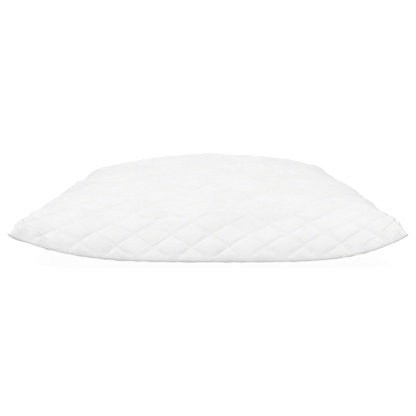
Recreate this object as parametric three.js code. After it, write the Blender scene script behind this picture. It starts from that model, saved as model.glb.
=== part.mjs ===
// Bed pillow with a diamond-quilted cover, lying flat on a surface.
//
// Frame: millimetres, +Z up. The origin is on the surface the pillow lies on, under its middle.
// The long side runs along Y and the short side along X.
//
// The cover is two quilted panels, top and bottom. Each panel is three layers: face fabric,
// wadding and backing. The panels are joined all round by a sewn edge, and the bag that they
// make is filled with loose fibre. Every layer is drawn over the same grid of (u, v) places,
// from -1 to 1 across each side, so the layers nest without touching.

import * as THREE from "three";

// Size of the filled pillow, measured corner to corner and floor to crown.
const WIDTH = 480;
const LENGTH = 725;
const HEIGHT = 121;

// Shape of the outline and of the sewn edge's height above the surface.
const SIDE_PULL = 0.05;       // how far the long sides draw in at their middles, of the half width
const END_PULL = 0.04;        // how far the short ends draw in, of the half length
const SEAM_LOW = 12;          // height of the sewn edge at the middle of a side
const SEAM_CORNER = 44;       // height of the sewn edge at a corner
const CORNER_SHARPNESS = 3.4; // how late the edge starts to climb towards a corner

// Shape of the swell above and below the sewn edge.
const ACROSS_POWER = 2.05;
const ACROSS_ROUND = 0.38;    // roundness of the section across the middle
const ACROSS_SQUARING = 0.27; // how much squarer that section is at the ends
const ALONG_POWER = 1.93;
const ALONG_ROUND = 0.92;
const BELLY = 16;             // how far the underside would hang below its edge if nothing held it
const BELLY_ROUND = 0.6;

// Layers of a quilted panel.
const FACE = 1.0;
const WADDING = 4.6;
const BACKING = 0.6;
const GAP = 0.4;
const SEWN_FACE = 0.9;        // the same layers where the edge seam squeezes them
const SEWN_WADDING = 0.7;
const SEWN_BACKING = 0.3;
const SEWN_GAP = 0.3;
const SEAM_WIDTH = 10;        // width of the seam allowance inside the edge
const SEAM_HALF = 0.8;        // half the thickness of the seam allowance
const FULL_DEPTH = 26;        // half height of the pillow from which the layers have full thickness
const STEEPEST = 2.2;         // most that a sloping wall thickens a layer, measured upright

// Edge details on the back end.
const CLOSING_START = -125;
const CLOSING_END = 55;
const CLOSING_DEPTH = 1.2;
const CLOSING_HALF_HEIGHT = 1.5;
const LABEL_START = 70;
const LABEL_WIDTH = 34;
const LABEL_REACH = 11;
const LABEL_HALF = 0.5;

const halfWidth = WIDTH / 2;
const halfLength = LENGTH / 2;
const sewnDepths = stack(SEWN_FACE, SEWN_WADDING, SEWN_BACKING, SEWN_GAP);
const openDepths = stack(FACE, WADDING, BACKING, GAP);
const edgeHalf = sewnDepths[6] + SEAM_HALF;
const dome = HEIGHT - SEAM_LOW - edgeHalf;
const innerU = 1 - SEAM_WIDTH / halfWidth;
const innerV = 1 - SEAM_WIDTH / halfLength;

// Grid lines from the middle outwards. They close up towards the edge, where the shape turns.
const linesU = mirrored([0.22, 0.44, 0.64, 0.8, 0.9, innerU, 1]);
const linesV = mirrored([0.2, 0.4, 0.58, 0.73, 0.85, 0.93, innerV, 1]);

// ---------------------------------------------------------------- the pillow's shape

// Depths below the panel's outer face of the start and end of each layer, outside first.
// The last one is where the filling, or the seam allowance, may start.
function stack(face, wadding, backing, gap) {
  const depths = [0, face];
  depths.push(depths[1] + gap);
  depths.push(depths[2] + wadding);
  depths.push(depths[3] + gap);
  depths.push(depths[4] + backing);
  depths.push(depths[5] + gap);
  return depths;
}

function mirrored(half) {
  const left = half.map((line) => -line).reverse();
  return [...left, 0, ...half];
}

function outline(u, v) {
  const x = u * halfWidth * (1 - SIDE_PULL * (1 - v * v));
  const y = v * halfLength * (1 - END_PULL * (1 - u * u));
  return [x, y];
}

function seamHeight(u, v) {
  const cornerness = Math.pow(Math.abs(u * v), CORNER_SHARPNESS);
  return SEAM_LOW + (SEAM_CORNER - SEAM_LOW) * cornerness;
}

function swell(place, power, round) {
  return Math.pow(Math.max(0, 1 - Math.pow(Math.abs(place), power)), round);
}

function topHeight(u, v) {
  const across = swell(u, ACROSS_POWER, ACROSS_ROUND - ACROSS_SQUARING * Math.abs(v));
  const along = swell(v, ALONG_POWER, ALONG_ROUND);
  return seamHeight(u, v) + edgeHalf + dome * across * along;
}

function bottomHeight(u, v) {
  const hang = BELLY * swell(u, 2, BELLY_ROUND) * swell(v, 2, BELLY_ROUND);
  return Math.max(0, seamHeight(u, v) - edgeHalf - hang);
}

function middleHeight(u, v) {
  return (topHeight(u, v) + bottomHeight(u, v)) / 2;
}

// How much thicker a layer is when measured straight down through a sloping wall.
function steepness(height, u, v) {
  const step = 0.01;
  const low = 1 - step;
  const cu = Math.min(low, Math.max(-low, u));
  const cv = Math.min(low, Math.max(-low, v));
  const riseU = (height(cu + step, cv) - height(cu - step, cv)) / (2 * step * halfWidth);
  const riseV = (height(cu, cv + step) - height(cu, cv - step)) / (2 * step * halfLength);
  return Math.min(STEEPEST, Math.sqrt(1 + riseU * riseU + riseV * riseV));
}

// Upright depth of a layer boundary: squeezed at the sewn edge, full where the pillow is thick.
function layerDepth(boundary, height, u, v) {
  const halfHeight = topHeight(u, v) - middleHeight(u, v);
  const openness = Math.min(1, Math.max(0, (halfHeight - edgeHalf) / (FULL_DEPTH - edgeHalf)));
  const open = openDepths[boundary] * steepness(height, u, v);
  return sewnDepths[boundary] + (open - sewnDepths[boundary]) * openness;
}

function topLayer(boundary) {
  return (u, v) => topHeight(u, v) - layerDepth(boundary, topHeight, u, v);
}

function bottomLayer(boundary) {
  return (u, v) => bottomHeight(u, v) + layerDepth(boundary, bottomHeight, u, v);
}

// ---------------------------------------------------------------- making closed solids

// A closed solid over a grid of places, between a lower and an upper height.
// place(a, b) gives x and y; the heights take the same two numbers.
function sheetSolid(linesA, linesB, place, upper, lower) {
  const columns = linesA.length;
  const rows = linesB.length;
  const positions = [];
  const triangles = [];
  const addSurface = (height) => {
    const first = positions.length / 3;
    for (const a of linesA) {
      for (const b of linesB) {
        positions.push(...place(a, b), height(a, b));
      }
    }
    return (i, j) => first + i * rows + j;
  };
  const high = addSurface(upper);
  const deep = addSurface(lower);
  for (let i = 0; i + 1 < columns; i += 1) {
    for (let j = 0; j + 1 < rows; j += 1) {
      const middleA = linesA[i] + linesA[i + 1];
      const middleB = linesB[j] + linesB[j + 1];
      addCell(triangles, high, i, j, middleA * middleB > 0, false);
      addCell(triangles, deep, i, j, middleA * middleB > 0, true);
    }
  }
  for (let i = 0; i + 1 < columns; i += 1) {
    addWall(triangles, deep(i, 0), deep(i + 1, 0), high(i + 1, 0), high(i, 0));
    addWall(triangles, deep(i + 1, rows - 1), deep(i, rows - 1), high(i, rows - 1),
      high(i + 1, rows - 1));
  }
  for (let j = 0; j + 1 < rows; j += 1) {
    addWall(triangles, deep(0, j + 1), deep(0, j), high(0, j), high(0, j + 1));
    addWall(triangles, deep(columns - 1, j), deep(columns - 1, j + 1),
      high(columns - 1, j + 1), high(columns - 1, j));
  }
  const geometry = new THREE.BufferGeometry();
  geometry.setAttribute("position", new THREE.Float32BufferAttribute(positions, 3));
  geometry.setIndex(triangles);
  geometry.computeVertexNormals();
  return geometry;
}

// Two triangles for one grid cell. The fold runs towards the nearest corner of the pillow.
function addCell(triangles, index, i, j, foldsOutward, facesDown) {
  const a = index(i, j);
  const b = index(i + 1, j);
  const c = index(i + 1, j + 1);
  const d = index(i, j + 1);
  const pair = foldsOutward ? [[a, b, d], [b, c, d]] : [[a, b, c], [a, c, d]];
  for (const [p, q, r] of pair) {
    triangles.push(...(facesDown ? [p, r, q] : [p, q, r]));
  }
}

function addWall(triangles, a, b, c, d) {
  triangles.push(a, b, c, a, c, d);
}

function clipped(lines, low, high) {
  return [low, ...lines.filter((line) => line > low + 1e-6 && line < high - 1e-6), high];
}

// ---------------------------------------------------------------- pieces

const pillow = new THREE.Group();
pillow.name = "bed_pillow";

function addPiece(name, geometry, color, roughness) {
  const material = new THREE.MeshStandardMaterial({ color, roughness, metalness: 0 });
  material.name = name;
  const mesh = new THREE.Mesh(geometry, material);
  mesh.name = name;
  pillow.add(mesh);
}

function addPanelLayer(layer, boundary, color, roughness) {
  const top = sheetSolid(linesU, linesV, outline, topLayer(boundary), topLayer(boundary + 1));
  const bottom = sheetSolid(linesU, linesV, outline, bottomLayer(boundary + 1),
    bottomLayer(boundary));
  addPiece(`top_${layer}`, top, color, roughness);
  addPiece(`bottom_${layer}`, bottom, color, roughness);
}

function addFilling() {
  const reachU = innerU - SEWN_GAP / halfWidth;
  const reachV = innerV - SEWN_GAP / halfLength;
  const across = clipped(linesU, -reachU, reachU);
  const along = clipped(linesV, -reachV, reachV);
  addPiece("fibre_fill", sheetSolid(across, along, outline, topLayer(6), bottomLayer(6)),
    0xf7f7f5, 1.0);
}

// The seam allowance on one side: a flat strip, a few layers thick, just inside the edge.
function addSeam(name, across, along) {
  const upper = (u, v) => middleHeight(u, v) + SEAM_HALF;
  const lower = (u, v) => middleHeight(u, v) - SEAM_HALF;
  addPiece(name, sheetSolid(across, along, outline, upper, lower), 0xe9e9e6, 0.9);
}

function addSeams() {
  const sideReach = innerV - SEWN_GAP / halfLength;
  const sideLines = clipped(linesV, -sideReach, sideReach);
  addSeam("seam_front", linesU, [-1, -innerV]);
  addSeam("seam_back", linesU, [innerV, 1]);
  addSeam("seam_left", [-1, -innerU], sideLines);
  addSeam("seam_right", [innerU, 1], sideLines);
}

// A strip that stands out from the back edge, between two places along the edge.
function backEdgeStrip(start, end, steps, reach, halfThickness) {
  const across = [];
  for (let i = 0; i <= steps; i += 1) {
    across.push((start + (end - start) * i / steps) / halfWidth);
  }
  const place = (u, out) => {
    const [x, y] = outline(u, 1);
    return [x, y + SEWN_GAP + out];
  };
  const upper = (u) => seamHeight(u, 1) + halfThickness;
  const lower = (u) => seamHeight(u, 1) - halfThickness;
  return sheetSolid(across, [0, reach], place, upper, lower);
}

addPanelLayer("cover_fabric", 0, 0xf2f2f0, 0.85);
addPanelLayer("wadding", 2, 0xf8f8f6, 1.0);
addPanelLayer("backing", 4, 0xeeeeec, 0.95);
addFilling();
addSeams();
addPiece("closing_stitch",
  backEdgeStrip(CLOSING_START, CLOSING_END, 12, CLOSING_DEPTH, CLOSING_HALF_HEIGHT),
  0xf4f4f2, 0.7);
addPiece("care_label",
  backEdgeStrip(LABEL_START, LABEL_START + LABEL_WIDTH, 3, LABEL_REACH, LABEL_HALF),
  0xfafaf8, 0.6);

export default pillow;
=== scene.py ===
"""Bed pillow with a diamond-quilted cover, lying on a pale floor.

The cover is drawn over flat cloth places (s, t), in metres from the middle of the cut panel:
s runs across the pillow and t along it. A smooth filled shape is relaxed as cloth on a coarse
grid, and the quilting, the gathers at the seams and the soft lumps are then raised on a fine
lattice whose edges follow the stitch lines. The layers inside, the sewn edge, the closing
stitches and the label are built on the same surface.
"""
import math

import bpy
import numpy as np
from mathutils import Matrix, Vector


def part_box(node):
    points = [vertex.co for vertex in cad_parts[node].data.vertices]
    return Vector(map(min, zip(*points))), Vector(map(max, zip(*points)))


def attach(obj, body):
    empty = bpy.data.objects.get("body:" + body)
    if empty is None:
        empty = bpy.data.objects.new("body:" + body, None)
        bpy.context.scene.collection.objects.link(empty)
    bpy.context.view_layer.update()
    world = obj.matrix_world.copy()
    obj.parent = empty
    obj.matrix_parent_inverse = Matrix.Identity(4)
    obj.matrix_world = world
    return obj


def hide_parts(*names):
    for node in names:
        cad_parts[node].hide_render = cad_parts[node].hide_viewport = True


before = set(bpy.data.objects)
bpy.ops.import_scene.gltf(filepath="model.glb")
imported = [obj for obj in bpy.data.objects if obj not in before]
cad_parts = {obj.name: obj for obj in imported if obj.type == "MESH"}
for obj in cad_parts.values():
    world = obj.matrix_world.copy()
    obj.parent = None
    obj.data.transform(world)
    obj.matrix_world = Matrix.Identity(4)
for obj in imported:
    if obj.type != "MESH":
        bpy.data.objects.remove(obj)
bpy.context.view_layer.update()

# ------------------------------------------------------------------ driving dimensions, metres

PITCH = 0.045                 # distance between the crossings along a row of diamonds
STEPS = 24                    # lattice steps in one pitch
FINE = PITCH / STEPS
FINE_CELLS = (266, 400)       # even numbers, so that every corner is a lattice place
FLAT = np.array(FINE_CELLS) * FINE
COARSE_CELLS = (96, 144)
COLUMN_SHIFT = FINE_CELLS[0] // 2 + 13   # the lattice place of one crossing, across the panel
ROW_SHIFT = 12                           # and along it; the two add up to an even number

cover_low, cover_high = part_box("top_cover_fabric")
floor_low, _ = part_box("bottom_cover_fabric")
label_low, label_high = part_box("care_label")
closing_low, closing_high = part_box("closing_stitch")
HALF_WIDTH = (cover_high.x - cover_low.x) / 2
HALF_LENGTH = (cover_high.y - cover_low.y) / 2
HEIGHT = cover_high.z - floor_low.z

SIDE_PULL = 0.05              # how far the middle of a side lies inside the line of its corners
END_PULL = 0.04
TIP_ROUNDING = 0.004          # share of the half sizes that rounds off a corner's very tip
TIP_SHARPNESS = 60
SEAM_LOW = 0.0090             # height of the sewn edge at the middle of a side
SEAM_CORNER = 0.044           # and at a corner
END_SHARPNESS = (3.3, 4.4)    # how late an end's edge climbs to its left and right corner
SIDE_SHARPNESS = 2.8          # and a side's edge

CROWN = HEIGHT - 0.0040       # the smooth surface; the quilting stands over it
ACROSS_POWER = 2.20
ACROSS_ROUND = 0.358
ACROSS_SQUARING = 0.245       # the section squares up towards the ends
FAR_POWER = 5.83              # the filling lies packed against the far shoulders
FAR_ROUND = 0.597
FAR_MIDDLE = 0.455
FAR_REACH = 0.202
FAR_SHIFT = 0.012             # and a little more to one side
ROOF = 0.240                  # the far half slopes off from its middle line
ROOF_BLEND = 0.15
ROOF_RIDGE = 0.35
SHOULDER = 0.005              # the filling's edge stands out as a soft ridge at the far shoulders
SHOULDER_PLACE = 0.777
SHOULDER_WIDTH = 0.07
NEAR_PROFILE = (1.75, 0.734)  # power and roundness of the middle line, towards either end
FAR_PROFILE = (2.48, 0.747)
CROWN_TILT = 0.039            # the filling lies a little higher on one side
BELLY = 0.016
BELLY_ROUND = 0.9
UNDER_EASE = 0.6              # the underside stays up for longer than the seam, behind a corner
UNDER_CORNER = 12             # except at the very corner, where it meets the seam
RIM_SHARPNESS = 6             # how late the even steps of cloth give way to the rim's own

GROOVE_DEPTH = 0.0017         # a stitch line pulls the cloth in sharply by this much
GROOVE_WIDTH = 0.0018
PUFF = 0.0019                 # and the padding between the lines swells by this much
PUFF_ROUND = 0.8
FULLNESS = (0.25, 1.55)       # share of that in the emptiest and in the fullest diamond
FULLNESS_REPEAT = 64          # diamonds, more than there are either way
MIDDLE_RELIEF = 0.25          # share of that relief on the crown, where the cover is taut
EDGE_RELIEF = 0.56            # and how much more there is by the seams
RELIEF_REACH = 0.056          # how far in from the seams that goes
QUILT_MEAN = 0.0021           # the relief's average height, which the smooth surface stands for
UNDER_RELIEF = 0.38           # the weight of the pillow presses its underside flatter
SEAM_FADE = 0.012             # the relief and the gathers end over this much cloth at the seam
LATTICE_PULL = 0.6            # how far the lattice draws together towards the stitch lines
RIPPLES = 0.00065             # small irregular puckers of the slack cloth between the stitches
RIPPLE_WAVES = (60, 0.012, 0.026)     # how many waves, the shortest and the longest
RIPPLE_START = 0.02           # how far from the seams they begin, and over how much they grow
RIPPLE_FADE = 0.08
PATCH_WAVES = (12, 0.06, 0.2)         # the ripples come and go in patches
PATCH_SHARE = 0.6             # their share on average, how much that varies, and how much more
PATCH_DEPTH = 0.3             # there is of them towards the far end
PATCH_TILT = 0.5
LUMPS = 0.0013
LUMP_WAVES = (14, 0.06, 0.18)
LUMP_FADE = 0.06
WOBBLE = 0.0013               # the stitch lines wander by this much
WOBBLE_WAVES = (10, 0.07, 0.2)
WOBBLE_FADE = 0.05
TOP_ROLL = 0.0018             # how far the top panel's face rolls up beside the edge seam
UNDER_ROLL = 0.0005
ROLL_REACH = 0.0030
CORNER_ROLL = 0.0012          # and how much more at a corner, whose tip is stuffed blunt
CORNER_REACH = 0.012
GATHERS = 0.0010              # small folds at the seam
GATHER_REACH = 0.016
GATHER_COUNT = 5
GATHER_LENGTHS = (0.013, 0.030)
CORNER_GATHERS = 0.0018       # and how much deeper and longer they are by a corner
CORNER_GATHER_REACH = 0.020
CORNER_GATHER_PLACE = 0.045
CORNER_GATHER_SPREAD = 0.03
TOP_SEED = 11
UNDER_SEED = 12
CLOSING_SEED = 5

COVER_THICKNESS = 0.001
COVER_SINKS = 0.0016          # the wadding keeps clear of the places where the cover dips
WADDING_THICKNESS = 0.0046
BACKING_THICKNESS = 0.0006
LAYER_GAP = 0.0004
LAYER_SHARE = 0.4             # one panel's layers take at most this share of the gap between both
LAYER_CELLS = (60, 90)
LAYER_INSET = 0.955           # the inner layers end just inside the sewn edge

EDGE_RADIUS = 0.0009
EDGE_STITCH = 0.0030          # length of one overlock stitch along the edge
RIM_SAMPLES = 400             # places on each side at which the rim is measured
CLOSING_PITCH = 0.0042        # from one closing stitch to the next
THREAD_RADIUS = 0.00028
QUILT_STITCH = 0.0034         # length of one quilting stitch, with its gap
QUILT_THREAD_AND_HIGHLIGHT = (0.014, 0.024)         # shares of the pitch at which the edge of the lighter band begins and ends; the band is thread, widened into a painted highlight along the groove
QUILT_GAP = (-0.75, -0.45)            # values of the beat between which a stitch begins
WEAVE_PITCH = 0.0009          # from one thread of the cover's weave to the next but one

RELAX_FRAMES = 24
CUT_EASE = 1.015              # the sewn cloth is this much larger than the pattern
RELAX_CAP = 0.010             # no point moves further than this
DRIFT_REMOVED = 0.9           # share of the slow drift that is taken out again
SMOOTH_ROUNDS = 120
RIM_HOLD = 0.4                # how strongly each part is held to the filled shape
TOP_HOLD = 0.004
BOTTOM_HOLD = 0.5
BENDING = 0.04
PRESSURE = 4.0
CLOTH_MASS = 0.25

FLOOR_GLOW = 0.80             # with the light that it throws back, the floor shows as white
BACKDROP_GLOW = 1.0
FLOOR_COLOR = (0.26, 0.26, 0.26)
BACKDROP_RADIUS = 12.0
BACKDROP_HEIGHT = 2.4
BACKDROP_SIDES = 96
SOFTBOX_GLOW = 0.80           # the world's light from above
SOFTBOX_EDGE = 0.35           # where it ends, as a height on a unit sphere of directions
SOFTBOX_BLUR = 0.10
ROOM_GLOW = 0.13              # a dimmer room between there and the horizon
TABLE_GLOW = 0.72             # light thrown back from below
TABLE_EDGE = -0.2             # it is full from this height down
KEY_STRENGTH = 1.21
KEY_SPREAD = 0.9              # radians; a wide, soft source
KEY_DIRECTION = (-0.40, -1.00, 2.0)

CAMERA_LENS = 99.9            # millimetres, on a sensor 36 mm wide
CAMERA_BACK = 1.367           # how far it stands from the near end
CAMERA_HEIGHT = 0.211
CAMERA_DROP = 0.0986          # radians below the horizon


# ------------------------------------------------------------------ the filled shape

def swell(place, power, roundness):
    return np.clip(1 - np.abs(place) ** power, 0, 1) ** roundness


def outline(u, v):
    tip = 1 - TIP_ROUNDING * np.abs(u * v) ** TIP_SHARPNESS
    x = u * HALF_WIDTH * (1 - SIDE_PULL * (1 - v ** 2)) * tip
    y = v * HALF_LENGTH * (1 - END_PULL * (1 - u ** 2)) * tip
    return x, y


def seam_height(u, v):
    sharpness = np.where(u < 0, END_SHARPNESS[0], END_SHARPNESS[1])
    climb = np.abs(u) ** sharpness * np.abs(v) ** SIDE_SHARPNESS
    return SEAM_LOW + (SEAM_CORNER - SEAM_LOW) * climb


def top_surface(u, v):
    far = np.exp(-((v - FAR_MIDDLE) / FAR_REACH) ** 2)
    power = ACROSS_POWER + (FAR_POWER - ACROSS_POWER) * far
    near_round = ACROSS_ROUND - ACROSS_SQUARING * np.abs(v)
    shifted = u - FAR_SHIFT * far * (1 - u ** 2)
    across = swell(shifted, power, near_round + (FAR_ROUND - near_round) * far)
    slope = np.sqrt(u ** 2 + ROOF_RIDGE ** 2) - ROOF_RIDGE
    across = across * (1 - ROOF * slope / (1 + np.exp(-v / ROOF_BLEND)))
    along = np.where(v < 0, swell(v, *NEAR_PROFILE), swell(v, *FAR_PROFILE))
    x, y = outline(u, v)
    rise = (CROWN - SEAM_LOW) * across * along * (1 + CROWN_TILT * u)
    rise = rise + SHOULDER * far * np.exp(-((np.abs(u) - SHOULDER_PLACE) / SHOULDER_WIDTH) ** 2)
    return np.stack([x, y, seam_height(u, v) + rise], -1)


def bottom_surface(u, v):
    x, y = outline(u, v)
    hang = BELLY * swell(u, 2, BELLY_ROUND) * swell(v, 2, BELLY_ROUND)
    eased = np.abs(v) ** (1 - UNDER_EASE * (1 - np.abs(u) ** UNDER_CORNER))
    return np.stack([x, y, np.maximum(0, seam_height(u, eased) - hang)], -1)


def even_places(surface, cells, across):
    """Places from -1 to 1 that cut the surface's middle section into equal lengths of cloth."""
    fine = np.linspace(-1, 1, 2001)
    zero = np.zeros_like(fine)
    line = surface(fine, zero) if across else surface(zero, fine)
    length = np.concatenate([[0], np.cumsum(np.linalg.norm(np.diff(line, axis=0), axis=1))])
    return np.interp(np.linspace(0, length[-1], cells + 1), length, fine)


def cloth_grid(surface):
    """The surface at even steps of cloth, except along the seam, where both panels share points."""
    columns, rows = COARSE_CELLS
    plain_u = np.linspace(-1, 1, columns + 1)
    plain_v = np.linspace(-1, 1, rows + 1)
    even_u = even_places(surface, columns, True)
    even_v = even_places(surface, rows, False)
    inside_u = 1 - np.abs(plain_u) ** RIM_SHARPNESS
    inside_v = 1 - np.abs(plain_v) ** RIM_SHARPNESS
    u = plain_u[:, None] + (even_u - plain_u)[:, None] * inside_v[None, :]
    v = plain_v[None, :] + (even_v - plain_v)[None, :] * inside_u[:, None]
    return surface(u, v)


# ------------------------------------------------------------------ cloth relaxation

def pillow_faces(columns, rows):
    """Vertex numbers of both panels' grids, which share their rim, and the quads between them."""
    top = np.arange((columns + 1) * (rows + 1)).reshape(columns + 1, rows + 1)
    bottom = top.copy()
    bottom[1:-1, 1:-1] = top.size + np.arange((columns - 1) * (rows - 1)).reshape(columns - 1, -1)
    faces = []
    for i in range(columns):
        for j in range(rows):
            faces.append((top[i, j], top[i + 1, j], top[i + 1, j + 1], top[i, j + 1]))
            faces.append((bottom[i, j], bottom[i, j + 1], bottom[i + 1, j + 1], bottom[i + 1, j]))
    return top, bottom, [tuple(int(n) for n in face) for face in faces]


def smoothed(field, faces):
    """A field over the mesh's vertices, averaged again and again with its neighbours along edges."""
    quads = np.array(faces)
    start = quads.ravel()
    end = np.roll(quads, -1, axis=1).ravel()
    degree = np.bincount(start, minlength=len(field)) + np.bincount(end, minlength=len(field))
    for _ in range(SMOOTH_ROUNDS):
        total = np.stack([np.bincount(start, field[end, k], len(field))
                          + np.bincount(end, field[start, k], len(field)) for k in range(3)], -1)
        field = (field + total / degree[:, None]) / 2
    return field


def relax(top_points, bottom_points):
    """Lets the flat cut's real cloth size settle on the filled shape, under a light pressure.

    The folds are kept, and the slow drift of the whole shape is taken out again, so that the
    pillow keeps its size."""
    columns, rows = COARSE_CELLS
    top, bottom, faces = pillow_faces(columns, rows)
    points = np.zeros((bottom.max() + 1, 3))
    points[bottom] = bottom_points
    points[top] = top_points
    mesh = bpy.data.meshes.new("relaxing_cover")
    mesh.from_pydata(points.tolist(), [], faces)
    cover = bpy.data.objects.new("relaxing_cover", mesh)
    bpy.context.scene.collection.objects.link(cover)

    cover.shape_key_add(name="filled")
    flat = cover.shape_key_add(name="flat")
    s, t = np.meshgrid(np.linspace(-0.5, 0.5, columns + 1) * FLAT[0],
                       np.linspace(-0.5, 0.5, rows + 1) * FLAT[1], indexing="ij")
    cut = np.zeros_like(points)
    for panel, height in ((bottom, -0.001), (top, 0.001)):
        cut[panel] = np.stack([s * CUT_EASE, t * CUT_EASE, np.full_like(s, height)], -1)
    flat.data.foreach_set("co", cut.ravel())
    flat.value = 0

    hold = cover.vertex_groups.new(name="hold")
    rim = sorted(set(top.ravel()) & set(bottom.ravel()))
    inner_top = sorted(set(top.ravel()) - set(rim))
    inner_bottom = sorted(set(bottom.ravel()) - set(rim))
    hold.add([int(n) for n in rim], RIM_HOLD, "REPLACE")
    hold.add([int(n) for n in inner_top], TOP_HOLD, "REPLACE")
    hold.add([int(n) for n in inner_bottom], BOTTOM_HOLD, "REPLACE")

    cloth = cover.modifiers.new("cloth", "CLOTH")
    cloth.settings.quality = 6
    cloth.settings.mass = CLOTH_MASS
    cloth.settings.tension_stiffness = 15
    cloth.settings.compression_stiffness = 15
    cloth.settings.shear_stiffness = 5
    cloth.settings.bending_stiffness = BENDING
    cloth.settings.tension_damping = 8
    cloth.settings.compression_damping = 8
    cloth.settings.rest_shape_key = flat
    cloth.settings.vertex_group_mass = "hold"
    cloth.settings.pin_stiffness = 1.0
    cloth.settings.use_pressure = True
    cloth.settings.uniform_pressure_force = PRESSURE
    cloth.settings.effector_weights.gravity = 0
    cloth.collision_settings.use_collision = False
    cloth.point_cache.frame_start = 1
    cloth.point_cache.frame_end = RELAX_FRAMES

    scene = bpy.context.scene
    for number in range(1, RELAX_FRAMES + 1):
        scene.frame_set(number)
    settled = cover.evaluated_get(bpy.context.evaluated_depsgraph_get()).to_mesh()
    moved = np.zeros(len(settled.vertices) * 3)
    settled.vertices.foreach_get("co", moved)
    moved = moved.reshape(-1, 3)
    scene.frame_set(1)
    bpy.data.objects.remove(cover)
    bpy.data.meshes.remove(mesh)

    shift = moved - points
    shift = shift - DRIFT_REMOVED * smoothed(shift, faces)
    reach = np.linalg.norm(shift, axis=1)
    capped = points + shift * (np.minimum(reach, RELAX_CAP) / np.maximum(reach, 1e-9))[:, None]
    capped[:, 2] = np.maximum(capped[:, 2], 0)
    return capped[top], capped[bottom]


# ------------------------------------------------------------------ smooth surface on the coarse grid

def spline_weights(place, cells):
    """First control point, and the four weights and slopes of a uniform cubic B-spline there."""
    scaled = np.clip((place + 0.5) * cells, 0, cells)
    cell = np.minimum(scaled.astype(int), cells - 1)
    f = scaled - cell
    weights = [(1 - f) ** 3, 3 * f ** 3 - 6 * f ** 2 + 4, -3 * f ** 3 + 3 * f ** 2 + 3 * f + 1, f ** 3]
    slopes = [-(1 - f) ** 2, 3 * f ** 2 - 4 * f, -3 * f ** 2 + 2 * f + 1, f ** 2]
    return cell, [w / 6 for w in weights], [w / 2 for w in slopes]


def extended(grid):
    """The grid with a ring more of points, so that the spline ends on the grid's own rim."""
    grid = np.concatenate([2 * grid[:1] - grid[1:2], grid, 2 * grid[-1:] - grid[-2:-1]], 0)
    return np.concatenate([2 * grid[:, :1] - grid[:, 1:2], grid, 2 * grid[:, -1:] - grid[:, -2:-1]], 1)


def surface_at(grid, s, t):
    """Points and unit normals of the smooth surface over a grid, at cloth places."""
    control = extended(grid)
    i, across, across_slope = spline_weights(s / FLAT[0], grid.shape[0] - 1)
    j, along, along_slope = spline_weights(t / FLAT[1], grid.shape[1] - 1)
    point = np.zeros((*s.shape, 3))
    across_way = np.zeros_like(point)
    along_way = np.zeros_like(point)
    for a in range(4):
        for b in range(4):
            near = control[i + a, j + b]
            point += (across[a] * along[b])[..., None] * near
            across_way += (across_slope[a] * along[b])[..., None] * near
            along_way += (across[a] * along_slope[b])[..., None] * near
    normal = np.cross(across_way, along_way)
    return point, normal / np.maximum(np.linalg.norm(normal, axis=-1, keepdims=True), 1e-12)


def smoothstep(value):
    value = np.clip(value, 0, 1)
    return value ** 2 * (3 - 2 * value)


def edge_distance(s, t):
    return np.minimum(FLAT[0] / 2 - np.abs(s), FLAT[1] / 2 - np.abs(t))


# ------------------------------------------------------------------ the quilted lattice

def lattice_places():
    """The fine lattice: its place between the two families of stitch lines, and on the cloth."""
    i, j = np.meshgrid(np.arange(FINE_CELLS[0] + 1), np.arange(FINE_CELLS[1] + 1), indexing="ij")
    a = (i - COLUMN_SHIFT + j - ROW_SHIFT) / STEPS
    b = (i - COLUMN_SHIFT - j + ROW_SHIFT) / STEPS
    s = (i - FINE_CELLS[0] / 2) * FINE
    t = (j - FINE_CELLS[1] / 2) * FINE
    pull = LATTICE_PULL * smoothstep(edge_distance(s, t) / PITCH) / (2 * np.pi)
    a = a - pull * np.sin(2 * np.pi * a)
    b = b - pull * np.sin(2 * np.pi * b)
    s = s + (a + b) / 2 * PITCH - (i - COLUMN_SHIFT) * FINE
    t = t + (a - b) / 2 * PITCH - (j - ROW_SHIFT) * FINE
    return a, b, s, t


def quilting(a, b, rng):
    """Height of the padding over the stitch lines: a sharp groove, then a soft swelling."""
    line_gap = PITCH / math.sqrt(2)
    groove = np.ones_like(a)
    for phase in (a, b):
        distance = np.abs(phase - np.round(phase)) * line_gap
        groove = groove * (1 - np.exp(-distance / GROOVE_WIDTH))
    swelling = np.abs(np.sin(np.pi * a) * np.sin(np.pi * b)) ** PUFF_ROUND
    fullness = rng.uniform(*FULLNESS, (FULLNESS_REPEAT, FULLNESS_REPEAT))
    fill = fullness[np.floor(a).astype(int) % FULLNESS_REPEAT,
                    np.floor(b).astype(int) % FULLNESS_REPEAT]
    return GROOVE_DEPTH * groove + PUFF * swelling * fill - QUILT_MEAN


def waves(rng, s, t, count, shortest, longest):
    """A smooth random field of unit size, made of plane waves."""
    field = np.zeros_like(s)
    for _ in range(count):
        wavelength = rng.uniform(shortest, longest)
        angle = rng.uniform(0, np.pi)
        phase = rng.uniform(0, 2 * np.pi)
        field += np.sin(2 * np.pi * (s * math.cos(angle) + t * math.sin(angle)) / wavelength + phase)
    return field / math.sqrt(count)


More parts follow.
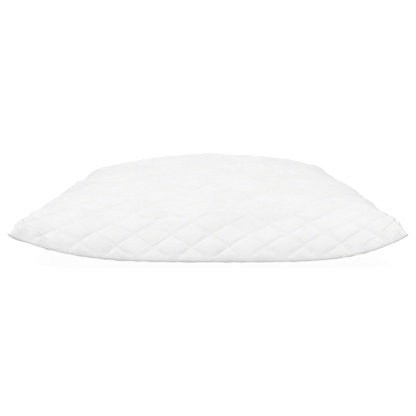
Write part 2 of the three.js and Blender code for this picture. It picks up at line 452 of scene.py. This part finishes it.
def gathers(s, t, rng):
    """Small folds that run in from the edge seam and die out; they are deepest by the corners."""
    total = np.zeros_like(s)
    sides = ((s, FLAT[0] / 2, FLAT[1] / 2 - np.abs(t)), (t, FLAT[1] / 2, FLAT[0] / 2 - np.abs(s)))
    for along, half, distance in sides:
        ripple = np.zeros_like(s)
        for _ in range(GATHER_COUNT):
            wavelength = rng.uniform(*GATHER_LENGTHS)
            phase = rng.uniform(0, 2 * np.pi)
            ripple += np.sin(2 * np.pi * along / wavelength + phase + np.sign(s + t))
        from_corner = half - np.abs(along)
        by_corner = np.exp(-((from_corner - CORNER_GATHER_PLACE) / CORNER_GATHER_SPREAD) ** 2)
        size = GATHERS + CORNER_GATHERS * by_corner
        reach = GATHER_REACH + CORNER_GATHER_REACH * by_corner
        fade = np.exp(-distance / reach) * smoothstep(distance / SEAM_FADE)
        total += size * ripple / GATHER_COUNT * fade
    return total


def quilted_panel(grid, seed, relief, roll_height, corner_roll):
    """Points of one panel's fine lattice, with its quilting, rolls, gathers and soft lumps."""
    rng = np.random.default_rng(seed)
    a, b, s, t = lattice_places()
    edge = edge_distance(s, t)
    inside = smoothstep(edge / WOBBLE_FADE)
    wander_s = s + WOBBLE * inside * waves(rng, s, t, *WOBBLE_WAVES)
    wander_t = t + WOBBLE * inside * waves(rng, s, t, *WOBBLE_WAVES)
    point, normal = surface_at(grid, wander_s, wander_t)
    from_corner = np.hypot(FLAT[0] / 2 - np.abs(s), FLAT[1] / 2 - np.abs(t))
    full = roll_height + corner_roll * np.exp(-(from_corner / CORNER_REACH) ** 2)
    roll = full * (1 - np.exp(-edge / ROLL_REACH))
    slack = MIDDLE_RELIEF + EDGE_RELIEF * np.exp(-(edge / RELIEF_REACH) ** 2)
    puff = relief * slack * quilting(a, b, rng) * smoothstep(edge / SEAM_FADE)
    lumps = relief * LUMPS * waves(rng, s, t, *LUMP_WAVES) * np.clip(edge / LUMP_FADE, 0, 1)
    varied = PATCH_SHARE + PATCH_DEPTH * waves(rng, s, t, *PATCH_WAVES)
    patches = smoothstep(varied + PATCH_TILT * t / FLAT[1])
    middle = smoothstep((edge - RIPPLE_START) / RIPPLE_FADE)
    ripples = relief * RIPPLES * patches * middle * waves(rng, s, t, *RIPPLE_WAVES)
    height = roll + puff + lumps + ripples + gathers(s, t, rng)
    return point + normal * height[:, :, None]


# ------------------------------------------------------------------ meshes

def add_mesh(name, points, faces):
    mesh = bpy.data.meshes.new(name)
    mesh.from_pydata(np.asarray(points).tolist(), [], faces)
    mesh.validate()
    mesh.polygons.foreach_set("use_smooth", [True] * len(mesh.polygons))
    piece = bpy.data.objects.new(name, mesh)
    bpy.context.scene.collection.objects.link(piece)
    return piece


def add_uv(piece, places):
    """Stores each vertex's flat cloth place, in metres, as the mesh's UV map."""
    layer = piece.data.uv_layers.new(name="cloth")
    corners = np.zeros(len(piece.data.loops), int)
    piece.data.loops.foreach_get("vertex_index", corners)
    layer.data.foreach_set("uv", np.asarray(places)[corners].ravel())


def lattice_faces(cells):
    """Quads whose edges run diagonally over the grid, along both families of stitch lines."""
    columns, rows = cells
    faces = []
    for i in range(columns + 1):
        for j in range(rows + 1):
            if (i + j) % 2 == 0:
                continue
            ring = [(i - 1, j), (i, j - 1), (i + 1, j), (i, j + 1)]
            ring = [p for p in ring if 0 <= p[0] <= columns and 0 <= p[1] <= rows]
            if len(ring) > 2:
                faces.append(ring)
    return faces


def build_cover(top_points, bottom_points):
    """One closed mesh of both panels, sewn together along their rim."""
    columns, rows = FINE_CELLS
    i, j = np.meshgrid(np.arange(columns + 1), np.arange(rows + 1), indexing="ij")
    used = (i + j) % 2 == 0
    rim = (i == 0) | (j == 0) | (i == columns) | (j == rows)
    top_number = np.full(used.shape, -1)
    top_number[used] = np.arange(used.sum())
    bottom_number = top_number.copy()
    inner = used & ~rim
    bottom_number[inner] = used.sum() + np.arange(inner.sum())
    points = np.concatenate([top_points[used], bottom_points[inner]])
    rings = lattice_faces(FINE_CELLS)
    faces = [[int(top_number[p]) for p in ring] for ring in rings]
    faces += [[int(bottom_number[p]) for p in reversed(ring)] for ring in rings]
    cover = add_mesh("quilted_cover", points, faces)
    _, _, s, t = lattice_places()
    places = np.stack([s, t], -1)
    add_uv(cover, np.concatenate([places[used], places[inner]]))
    return cover


def closed_layer(name, upper, lower, places):
    """A closed solid between two grids of points, joined by a band round their rims."""
    columns, rows = upper.shape[0] - 1, upper.shape[1] - 1
    top = np.arange(upper.shape[0] * upper.shape[1]).reshape(upper.shape[:2])
    bottom = top + top.size
    faces = []
    for i in range(columns):
        for j in range(rows):
            faces.append((top[i, j], top[i + 1, j], top[i + 1, j + 1], top[i, j + 1]))
            faces.append((bottom[i, j], bottom[i, j + 1], bottom[i + 1, j + 1], bottom[i + 1, j]))
    round_trip = [(i, 0) for i in range(columns)] + [(columns, j) for j in range(rows)]
    round_trip += [(i, rows) for i in range(columns, 0, -1)] + [(0, j) for j in range(rows, 0, -1)]
    for here, after in zip(round_trip, round_trip[1:] + round_trip[:1]):
        faces.append((top[here], bottom[here], bottom[after], top[after]))
    points = np.concatenate([upper.reshape(-1, 3), lower.reshape(-1, 3)])
    piece = add_mesh(name, points, [tuple(int(n) for n in face) for face in faces])
    add_uv(piece, np.concatenate([places.reshape(-1, 2)] * 2))
    return piece


def tube(rings, closed):
    """Points and faces of a tube through rings; a closed one joins its last ring to its first."""
    count, sides = rings.shape[:2]
    number = np.arange(count * sides).reshape(count, sides)
    faces = []
    for k in range(count if closed else count - 1):
        after = (k + 1) % count
        for m in range(sides):
            n = (m + 1) % sides
            faces.append([int(number[p]) for p in ((k, m), (k, n), (after, n), (after, m))])
    if not closed:
        faces.append([int(p) for p in number[0][::-1]])
        faces.append([int(p) for p in number[-1]])
    return rings.reshape(-1, 3), faces


# ------------------------------------------------------------------ layers inside the cover

def layer_places():
    s, t = np.meshgrid(np.linspace(-0.5, 0.5, LAYER_CELLS[0] + 1) * FLAT[0] * LAYER_INSET,
                       np.linspace(-0.5, 0.5, LAYER_CELLS[1] + 1) * FLAT[1] * LAYER_INSET,
                       indexing="ij")
    return s, t


def build_layers(top_grid, bottom_grid):
    """The wadding and the backing of both panels, and the filling between them."""
    s, t = layer_places()
    places = np.stack([s, t], -1)
    top, up = surface_at(top_grid, s, t)
    bottom, down = surface_at(bottom_grid, s, t)
    down = -down
    gap = np.linalg.norm(top - bottom, axis=-1)
    wadding_face = COVER_THICKNESS + COVER_SINKS
    backing_face = wadding_face + WADDING_THICKNESS + LAYER_GAP
    filling_face = backing_face + BACKING_THICKNESS + LAYER_GAP
    room = np.minimum(1, LAYER_SHARE * gap / filling_face)[:, :, None]

    def face(side, depth):
        point, normal = (top, up) if side == "top" else (bottom, down)
        return point - normal * room * depth

    pieces = {}
    for side in ("top", "bottom"):
        for layer, start, thickness in (("wadding", wadding_face, WADDING_THICKNESS),
                                        ("backing", backing_face, BACKING_THICKNESS)):
            outer = face(side, start)
            inner = face(side, start + thickness)
            name = f"{side}_{layer}"
            upper, lower = (outer, inner) if side == "top" else (inner, outer)
            pieces[name] = closed_layer(f"{name}_layer", upper, lower, places)
            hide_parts(name)
    filling = closed_layer("filling_core", face("top", filling_face), face("bottom", filling_face),
                           places)
    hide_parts("fibre_fill")
    pieces["filling"] = filling
    return pieces


# ------------------------------------------------------------------ sewn edge, closing stitches, label

def rim_line(grid, count):
    """Points round the sewn edge at even steps, the ways along and out of it, and its length."""
    half_s, half_t = FLAT / 2
    corners = [(-half_s, -half_t), (half_s, -half_t), (half_s, half_t), (-half_s, half_t)]
    s, t = [], []
    for here, after in zip(corners, corners[1:] + corners[:1]):
        share = np.linspace(0, 1, RIM_SAMPLES, endpoint=False)
        s.append(here[0] + (after[0] - here[0]) * share)
        t.append(here[1] + (after[1] - here[1]) * share)
    line, _ = surface_at(grid, np.concatenate(s), np.concatenate(t))
    line = np.concatenate([line, line[:1]])
    length = np.concatenate([[0], np.cumsum(np.linalg.norm(np.diff(line, axis=0), axis=1))])
    even = np.linspace(0, length[-1], count, endpoint=False)
    points = np.stack([np.interp(even, length, line[:, k]) for k in range(3)], -1)
    forward = np.roll(points, -1, 0) - np.roll(points, 1, 0)
    forward /= np.linalg.norm(forward, axis=1, keepdims=True)
    outward = np.cross(forward, (0, 0, 1))
    outward /= np.linalg.norm(outward, axis=1, keepdims=True)
    return points, forward, outward, length[-1]


def build_edge(grid):
    """The overlocked edge: a thin cord of stitches that runs right round the pillow."""
    _, _, _, length = rim_line(grid, 8)
    per_stitch = 5
    count = int(length / EDGE_STITCH) * per_stitch
    points, forward, outward, _ = rim_line(grid, count)
    upward = np.cross(outward, forward)
    bead = 0.5 + 0.5 * np.cos(2 * np.pi * np.arange(count) / per_stitch)
    radius = EDGE_RADIUS * (0.78 + 0.3 * bead)         # full on a stitch, thin between two
    sides = 8
    turn = 2 * np.pi * np.arange(sides) / sides
    rings = (points[:, None] + radius[:, None, None]
             * (np.cos(turn)[None, :, None] * outward[:, None]
                + np.sin(turn)[None, :, None] * upward[:, None]))
    rings[:, :, 2] = np.maximum(rings[:, :, 2], 0.0002)
    edge = add_mesh("sewn_edge", *tube(rings, True))
    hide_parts("seam_front", "seam_back", "seam_left", "seam_right")
    return edge


def back_rim(grid, x):
    """The sewn edge's points at the back end for the given places across."""
    s = np.linspace(-0.5, 0.5, 2 * RIM_SAMPLES + 1) * FLAT[0]
    line, _ = surface_at(grid, s, np.full_like(s, FLAT[1] / 2))
    return np.stack([x, np.interp(x, line[:, 0], line[:, 1]), np.interp(x, line[:, 0], line[:, 2])], -1)


def build_closing(grid):
    """Slanted whip stitches round the back edge, whose ends run into the cover."""
    count = int((closing_high.x - closing_low.x) / CLOSING_PITCH)
    starts = closing_low.x + CLOSING_PITCH * (np.arange(count) + 0.5)
    sides, steps = 6, 19
    turn = 2 * np.pi * np.arange(sides) / sides
    sweep = np.linspace(-np.pi, np.pi, steps)
    points, faces = [], []
    rng = np.random.default_rng(CLOSING_SEED)
    for start in starts:
        centre = back_rim(grid, np.array([start]))[0]
        slant = rng.uniform(0.8, 1.2) * CLOSING_PITCH / (2 * np.pi)
        reach = EDGE_RADIUS * 1.05 + THREAD_RADIUS
        outward = np.stack([np.zeros(steps), np.cos(sweep), np.sin(sweep)], -1)
        path = centre + outward * reach
        path[:, 0] += slant * sweep
        along = np.gradient(path, axis=0)
        along /= np.linalg.norm(along, axis=1, keepdims=True)
        across = np.cross(along, outward)
        rings = (path[:, None] + THREAD_RADIUS
                 * (np.cos(turn)[None, :, None] * outward[:, None]
                    + np.sin(turn)[None, :, None] * across[:, None]))
        stitch_points, stitch_faces = tube(rings, False)
        faces += [[n + len(points) * steps * sides for n in face] for face in stitch_faces]
        points.append(stitch_points)
    stitches = add_mesh("closing_stitches", np.concatenate(points), faces)
    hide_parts("closing_stitch")
    return stitches


def build_label(grid):
    """A blank ribbon folded in half, with both ends sewn into the back edge."""
    width = label_high.x - label_low.x
    reach = 0.0118            # how far the fold stands out from the edge
    tuck = 0.004              # and how far both ends run in behind it
    half_gap = 0.0007
    thickness = 0.0003
    turn = np.linspace(-np.pi / 2, np.pi / 2, 9)
    leaf = np.linspace(-tuck, reach - half_gap, 8)[:-1]
    fold = np.stack([reach - half_gap + half_gap * np.cos(turn), half_gap * np.sin(turn)], -1)
    middle = np.concatenate([np.stack([leaf, np.full_like(leaf, -half_gap)], -1), fold,
                             np.stack([leaf[::-1], np.full_like(leaf, half_gap)], -1)])
    way = np.gradient(middle, axis=0)
    way /= np.linalg.norm(way, axis=1, keepdims=True)
    side = np.stack([-way[:, 1], way[:, 0]], -1) * thickness / 2
    section = np.concatenate([middle + side, (middle - side)[::-1]])
    across = np.linspace(0, 1, 25)
    x = label_low.x + width * across
    base = back_rim(grid, x)
    rings = np.zeros((len(x), len(section), 3))
    rings[:, :, 0] = x[:, None]
    rings[:, :, 1] = base[:, 1, None] + section[None, :, 0]
    out = np.clip(section[:, 0], 0, None) / reach
    curl = 0.0011 * np.sin(np.pi * (across - 0.15)) - 0.0004      # one corner turns down
    rings[:, :, 2] = base[:, 2, None] + section[None, :, 1] + curl[:, None] * out[None, :] ** 2
    label = add_mesh("blank_label", *tube(rings[::-1], False))
    places = np.stack([rings[::-1, :, 0], np.broadcast_to(np.arange(len(section)) * 0.001,
                                                         rings.shape[:2])], -1)
    add_uv(label, places.reshape(-1, 2))
    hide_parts("care_label")
    return label


# ------------------------------------------------------------------ materials

def new_material(name, color, roughness):
    material = bpy.data.materials.new(name)
    material.use_nodes = True
    shader = material.node_tree.nodes["Principled BSDF"]
    shader.inputs["Base Color"].default_value = (*color, 1)
    shader.inputs["Roughness"].default_value = roughness
    return material, shader


def add_node(tree, kind, settings=None, **inputs):
    """A shader node with its settings made and its inputs set, or linked where they are sockets."""
    node = tree.nodes.new(kind)
    for name, value in (settings or {}).items():
        setattr(node, name, value)
    for name, value in inputs.items():
        number = name.removeprefix("at_")
        socket = node.inputs[int(number)] if number.isdigit() else node.inputs[name.replace("_", " ")]
        if isinstance(value, bpy.types.NodeSocket):
            tree.links.new(value, socket)
        else:
            socket.default_value = value
    return node


def maths(tree, operation, *values):
    inputs = {f"at_{k}": value for k, value in enumerate(values)}
    return add_node(tree, "ShaderNodeMath", {"operation": operation}, **inputs).outputs[0]


def cloth_axes(tree):
    """The two flat cloth places, in metres, as sockets, and the whole map."""
    places = add_node(tree, "ShaderNodeUVMap", {"uv_map": "cloth"}).outputs["UV"]
    parts = add_node(tree, "ShaderNodeSeparateXYZ", Vector=places)
    return places, parts.outputs["X"], parts.outputs["Y"]


def noise(tree, vector, scale, detail=2.0, roughness=0.5):
    return add_node(tree, "ShaderNodeTexNoise", Vector=vector, Scale=scale, Detail=detail,
                    Roughness=roughness).outputs["Fac"]


def weave(tree, s, t, thread):
    """Height of a plain weave of threads this far apart, from -1 to 1."""
    warp = maths(tree, "SINE", maths(tree, "MULTIPLY", s, 2 * math.pi / thread))
    weft = maths(tree, "SINE", maths(tree, "MULTIPLY", t, 2 * math.pi / thread))
    return maths(tree, "MULTIPLY", warp, weft)


def stitch_and_highlight_mask(tree, s, t):
    """1 on the quilting thread, whose band is widened into a painted highlight along the groove line,
    and 0 beside it, broken into single stitches.
    """
    column = maths(tree, "ADD", s, (FINE_CELLS[0] / 2 - COLUMN_SHIFT) * FINE)
    row = maths(tree, "ADD", t, (FINE_CELLS[1] / 2 - ROW_SHIFT) * FINE)
    diagonals = (maths(tree, "ADD", column, row), maths(tree, "SUBTRACT", column, row))
    masks = []
    for line, along in (diagonals, diagonals[::-1]):
        phase = maths(tree, "FRACT", maths(tree, "ADD", maths(tree, "DIVIDE", line, PITCH), 0.5))
        distance = maths(tree, "ABSOLUTE", maths(tree, "SUBTRACT", phase, 0.5))
        near = add_node(tree, "ShaderNodeMapRange", Value=distance, From_Min=QUILT_THREAD_AND_HIGHLIGHT[0],
                        From_Max=QUILT_THREAD_AND_HIGHLIGHT[1], To_Min=1.0, To_Max=0.0).outputs["Result"]
        beat = maths(tree, "SINE", maths(tree, "MULTIPLY", along,
                                         2 * math.pi / (QUILT_STITCH * math.sqrt(2))))
        on = add_node(tree, "ShaderNodeMapRange", Value=beat, From_Min=QUILT_GAP[0],
                      From_Max=QUILT_GAP[1], To_Min=0.0, To_Max=1.0).outputs["Result"]
        masks.append(maths(tree, "MULTIPLY", near, on))
    return maths(tree, "MAXIMUM", *masks)


def ramp(tree, factor, low_color, high_color, low=0.3, high=0.7):
    node = add_node(tree, "ShaderNodeValToRGB", Fac=factor)
    node.color_ramp.elements[0].position = low
    node.color_ramp.elements[0].color = (*low_color, 1)
    node.color_ramp.elements[1].position = high
    node.color_ramp.elements[1].color = (*high_color, 1)
    return node.outputs["Color"]


def bump(tree, height, distance, strength=1.0, under=None):
    inputs = {"Height": height, "Distance": distance, "Strength": strength}
    if under is not None:
        inputs["Normal"] = under
    return add_node(tree, "ShaderNodeBump", **inputs).outputs["Normal"]


def cover_material():
    """Brushed microfibre: fine plain weave, soft nap, slight clouding, and stitched lines, whose
    lighter colour is partly thread and partly a painted highlight along the grooves.
    """
    material, shader = new_material("cover_microfibre", (0.86, 0.86, 0.86), 0.82)
    tree = material.node_tree
    places, s, t = cloth_axes(tree)
    clouds = noise(tree, places, 22.0, 4.0, 0.6)
    cloth_color = ramp(tree, clouds, (0.852, 0.850, 0.848), (0.882, 0.880, 0.878))
    # The lighter stitch colour is partly thread and partly a painted highlight: its band is wider than
    # a thread and follows the lit groove lines.
    thread = stitch_and_highlight_mask(tree, s, t)
    color = add_node(tree, "ShaderNodeMix", {"data_type": "RGBA"}, at_0=thread, at_6=cloth_color,
                     at_7=(0.905, 0.905, 0.905, 1)).outputs[2]
    tree.links.new(color, shader.inputs["Base Color"])
    nap = noise(tree, places, 1400.0, 3.0, 0.6)
    roughness = add_node(tree, "ShaderNodeMapRange", Value=nap, To_Min=0.74, To_Max=0.92)
    tree.links.new(roughness.outputs["Result"], shader.inputs["Roughness"])
    normal = bump(tree, weave(tree, s, t, WEAVE_PITCH), 0.00006, 0.5)
    normal = bump(tree, nap, 0.00018, 0.5, normal)
    normal = bump(tree, noise(tree, places, 160.0, 3.0, 0.55), 0.0006, 0.35, normal)
    normal = bump(tree, thread, 0.0003, 0.8, normal)
    tree.links.new(normal, shader.inputs["Normal"])
    shader.inputs["Sheen Weight"].default_value = 0.06
    shader.inputs["Sheen Roughness"].default_value = 0.45
    shader.inputs["Specular IOR Level"].default_value = 0.3
    return material


def fibre_material(name, dark, light, scale, depth):
    """Loose fibres: drawn-out clumps in the colour, with a fluffy bump over them."""
    material, shader = new_material(name, light, 0.95)
    tree = material.node_tree
    places, _, _ = cloth_axes(tree)
    drawn = add_node(tree, "ShaderNodeMapping", Vector=places, Scale=(1.0, 0.25, 1.0)).outputs[0]
    clumps = noise(tree, drawn, scale, 6.0, 0.7)
    tree.links.new(ramp(tree, clumps, dark, light), shader.inputs["Base Color"])
    normal = bump(tree, clumps, depth, 0.8)
    normal = bump(tree, noise(tree, places, scale * 6, 4.0, 0.7), depth / 4, 0.6, normal)
    tree.links.new(normal, shader.inputs["Normal"])
    shader.inputs["Sheen Weight"].default_value = 0.4
    return material


def backing_material():
    """Thin nonwoven backing with a regular pattern of bonding points."""
    material, shader = new_material("nonwoven_backing", (0.8, 0.8, 0.79), 0.9)
    tree = material.node_tree
    places, s, t = cloth_axes(tree)
    points = weave(tree, s, t, 0.0024)
    tree.links.new(ramp(tree, points, (0.82, 0.82, 0.81), (0.70, 0.70, 0.69), 0.4, 0.9),
                   shader.inputs["Base Color"])
    normal = bump(tree, points, 0.0001, 0.6)
    normal = bump(tree, noise(tree, places, 500.0, 3.0, 0.6), 0.0002, 0.5, normal)
    tree.links.new(normal, shader.inputs["Normal"])
    return material


def thread_material(name, color, strand):
    """Twisted polyester thread: fine slanted strands with a faint gloss."""
    material, shader = new_material(name, color, 0.55)
    tree = material.node_tree
    place = add_node(tree, "ShaderNodeTexCoord").outputs["Object"]
    parts = add_node(tree, "ShaderNodeSeparateXYZ", Vector=place)
    slant = maths(tree, "ADD", parts.outputs["X"], parts.outputs["Y"])
    slant = maths(tree, "ADD", slant, parts.outputs["Z"])
    strands = maths(tree, "SINE", maths(tree, "MULTIPLY", slant, 2 * math.pi / strand))
    tone = [channel * 0.93 for channel in color]
    tree.links.new(ramp(tree, strands, tone, color, 0.2, 0.8), shader.inputs["Base Color"])
    normal = bump(tree, strands, 0.00006, 0.6)
    normal = bump(tree, noise(tree, place, 1500.0), 0.00008, 0.4, normal)
    tree.links.new(normal, shader.inputs["Normal"])
    shader.inputs["Sheen Weight"].default_value = 0.2
    return material


def label_material():
    """Satin ribbon: fine cross ribs, a soft gloss along them, and clouding."""
    material, shader = new_material("label_satin", (0.88, 0.88, 0.87), 0.38)
    tree = material.node_tree
    places, _, t = cloth_axes(tree)
    ribs = maths(tree, "SINE", maths(tree, "MULTIPLY", t, 2 * math.pi / 0.0005))
    clouds = noise(tree, places, 120.0, 3.0)
    tree.links.new(ramp(tree, clouds, (0.84, 0.84, 0.83), (0.90, 0.90, 0.89)),
                   shader.inputs["Base Color"])
    roughness = add_node(tree, "ShaderNodeMapRange", Value=clouds, To_Min=0.30, To_Max=0.46)
    tree.links.new(roughness.outputs["Result"], shader.inputs["Roughness"])
    tree.links.new(bump(tree, ribs, 0.00004, 0.5), shader.inputs["Normal"])
    return material


# ------------------------------------------------------------------ stage, light and camera

def add_stage():
    """A pale floor and a low white backdrop that runs right round it, which both glow evenly."""
    reach = BACKDROP_RADIUS
    floor = add_mesh("floor", [(-reach, -reach, 0), (reach, -reach, 0), (reach, reach, 0),
                               (-reach, reach, 0)], [(0, 1, 2, 3)])
    floor.location.z = -0.0005
    count = BACKDROP_SIDES
    turn = np.linspace(0, 2 * np.pi, count, endpoint=False)
    ring = np.stack([reach * np.cos(turn), reach * np.sin(turn), np.zeros_like(turn)], -1)
    walls = [(n, (n + 1) % count, count + (n + 1) % count, count + n) for n in range(count)]
    wall_points = np.concatenate([ring - (0, 0, 0.1), ring + (0, 0, BACKDROP_HEIGHT)])
    backdrop = add_mesh("backdrop", wall_points, walls)
    for piece, glow in ((floor, FLOOR_GLOW), (backdrop, BACKDROP_GLOW)):
        material, shader = new_material(piece.name, FLOOR_COLOR, 0.9)
        shader.inputs["Emission Color"].default_value = (1, 1, 1, 1)
        shader.inputs["Emission Strength"].default_value = glow
        piece.data.materials.append(material)
        piece.visible_diffuse = False      # the soft light is all in the world and the key


def add_soft_key(name, direction, strength):
    """A wide distant light that comes from this direction."""
    light = bpy.data.lights.new(name, "SUN")
    light.energy = strength
    light.angle = KEY_SPREAD
    lamp = bpy.data.objects.new(name, light)
    lamp.location = direction
    lamp.rotation_euler = Vector(direction).to_track_quat("Z", "Y").to_euler()
    bpy.context.scene.collection.objects.link(lamp)


def add_light():
    """A soft world that changes with height only, and one wide key light."""
    scene = bpy.context.scene
    scene.world = bpy.data.worlds.new("studio")
    scene.world.use_nodes = True
    tree = scene.world.node_tree
    background = tree.nodes["Background"]
    background.inputs["Color"].default_value = (1, 1, 1, 1)
    direction = add_node(tree, "ShaderNodeTexCoord").outputs["Generated"]
    height = add_node(tree, "ShaderNodeSeparateXYZ", Vector=direction).outputs["Z"]
    above = add_node(tree, "ShaderNodeMapRange", Value=height, From_Min=SOFTBOX_EDGE - SOFTBOX_BLUR,
                     From_Max=SOFTBOX_EDGE + SOFTBOX_BLUR, To_Min=ROOM_GLOW, To_Max=SOFTBOX_GLOW)
    below = add_node(tree, "ShaderNodeMapRange", Value=height, From_Min=TABLE_EDGE, From_Max=0.0,
                     To_Min=TABLE_GLOW - ROOM_GLOW, To_Max=0.0)
    strength = maths(tree, "ADD", above.outputs["Result"], below.outputs["Result"])
    tree.links.new(strength, background.inputs["Strength"])
    add_soft_key("key", KEY_DIRECTION, KEY_STRENGTH)
    scene.view_settings.view_transform = "Standard"


def add_camera():
    """Low in front of one end, as the photo was taken."""
    camera_data = bpy.data.cameras.new("camera")
    camera_data.sensor_width = 36
    camera_data.lens = CAMERA_LENS
    camera = bpy.data.objects.new("camera", camera_data)
    camera.location = (0, -HALF_LENGTH - CAMERA_BACK, CAMERA_HEIGHT)
    camera.rotation_euler = (math.pi / 2 - CAMERA_DROP, 0, 0)
    bpy.context.scene.collection.objects.link(camera)
    bpy.context.scene.camera = camera


# ------------------------------------------------------------------ the pillow

top_coarse = cloth_grid(top_surface)
bottom_coarse = cloth_grid(bottom_surface)
top_coarse, bottom_coarse = relax(top_coarse, bottom_coarse)

add_camera()
add_light()
add_stage()

top_points = quilted_panel(top_coarse, TOP_SEED, 1.0, TOP_ROLL, CORNER_ROLL)
upside_down = bottom_coarse * (1, 1, -1)
bottom_points = quilted_panel(upside_down, UNDER_SEED, UNDER_RELIEF, UNDER_ROLL, 0)
bottom_points = bottom_points * (1, 1, -1)
bottom_points[:, :, 2] = np.maximum(bottom_points[:, :, 2], 0)
cover = build_cover(top_points, bottom_points)
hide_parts("top_cover_fabric", "bottom_cover_fabric")

layers = build_layers(top_coarse, bottom_coarse)
edge = build_edge(top_coarse)
stitches = build_closing(top_coarse)
label = build_label(top_coarse)

wadding = fibre_material("polyester_wadding", (0.74, 0.74, 0.73), (0.85, 0.85, 0.84), 90.0, 0.001)
backing = backing_material()
filling = fibre_material("polyester_filling", (0.70, 0.70, 0.69), (0.86, 0.86, 0.85), 45.0, 0.003)
looks = [
    (cover, cover_material()),
    (layers["top_wadding"], wadding),
    (layers["bottom_wadding"], wadding),
    (layers["top_backing"], backing),
    (layers["bottom_backing"], backing),
    (layers["filling"], filling),
    (edge, thread_material("edge_overlock", (0.85, 0.85, 0.85), 0.0009)),
    (stitches, thread_material("closing_thread", (0.87, 0.87, 0.86), 0.0005)),
    (label, label_material()),
]
for piece, material in looks:
    piece.data.materials.append(material)
    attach(piece, "root")
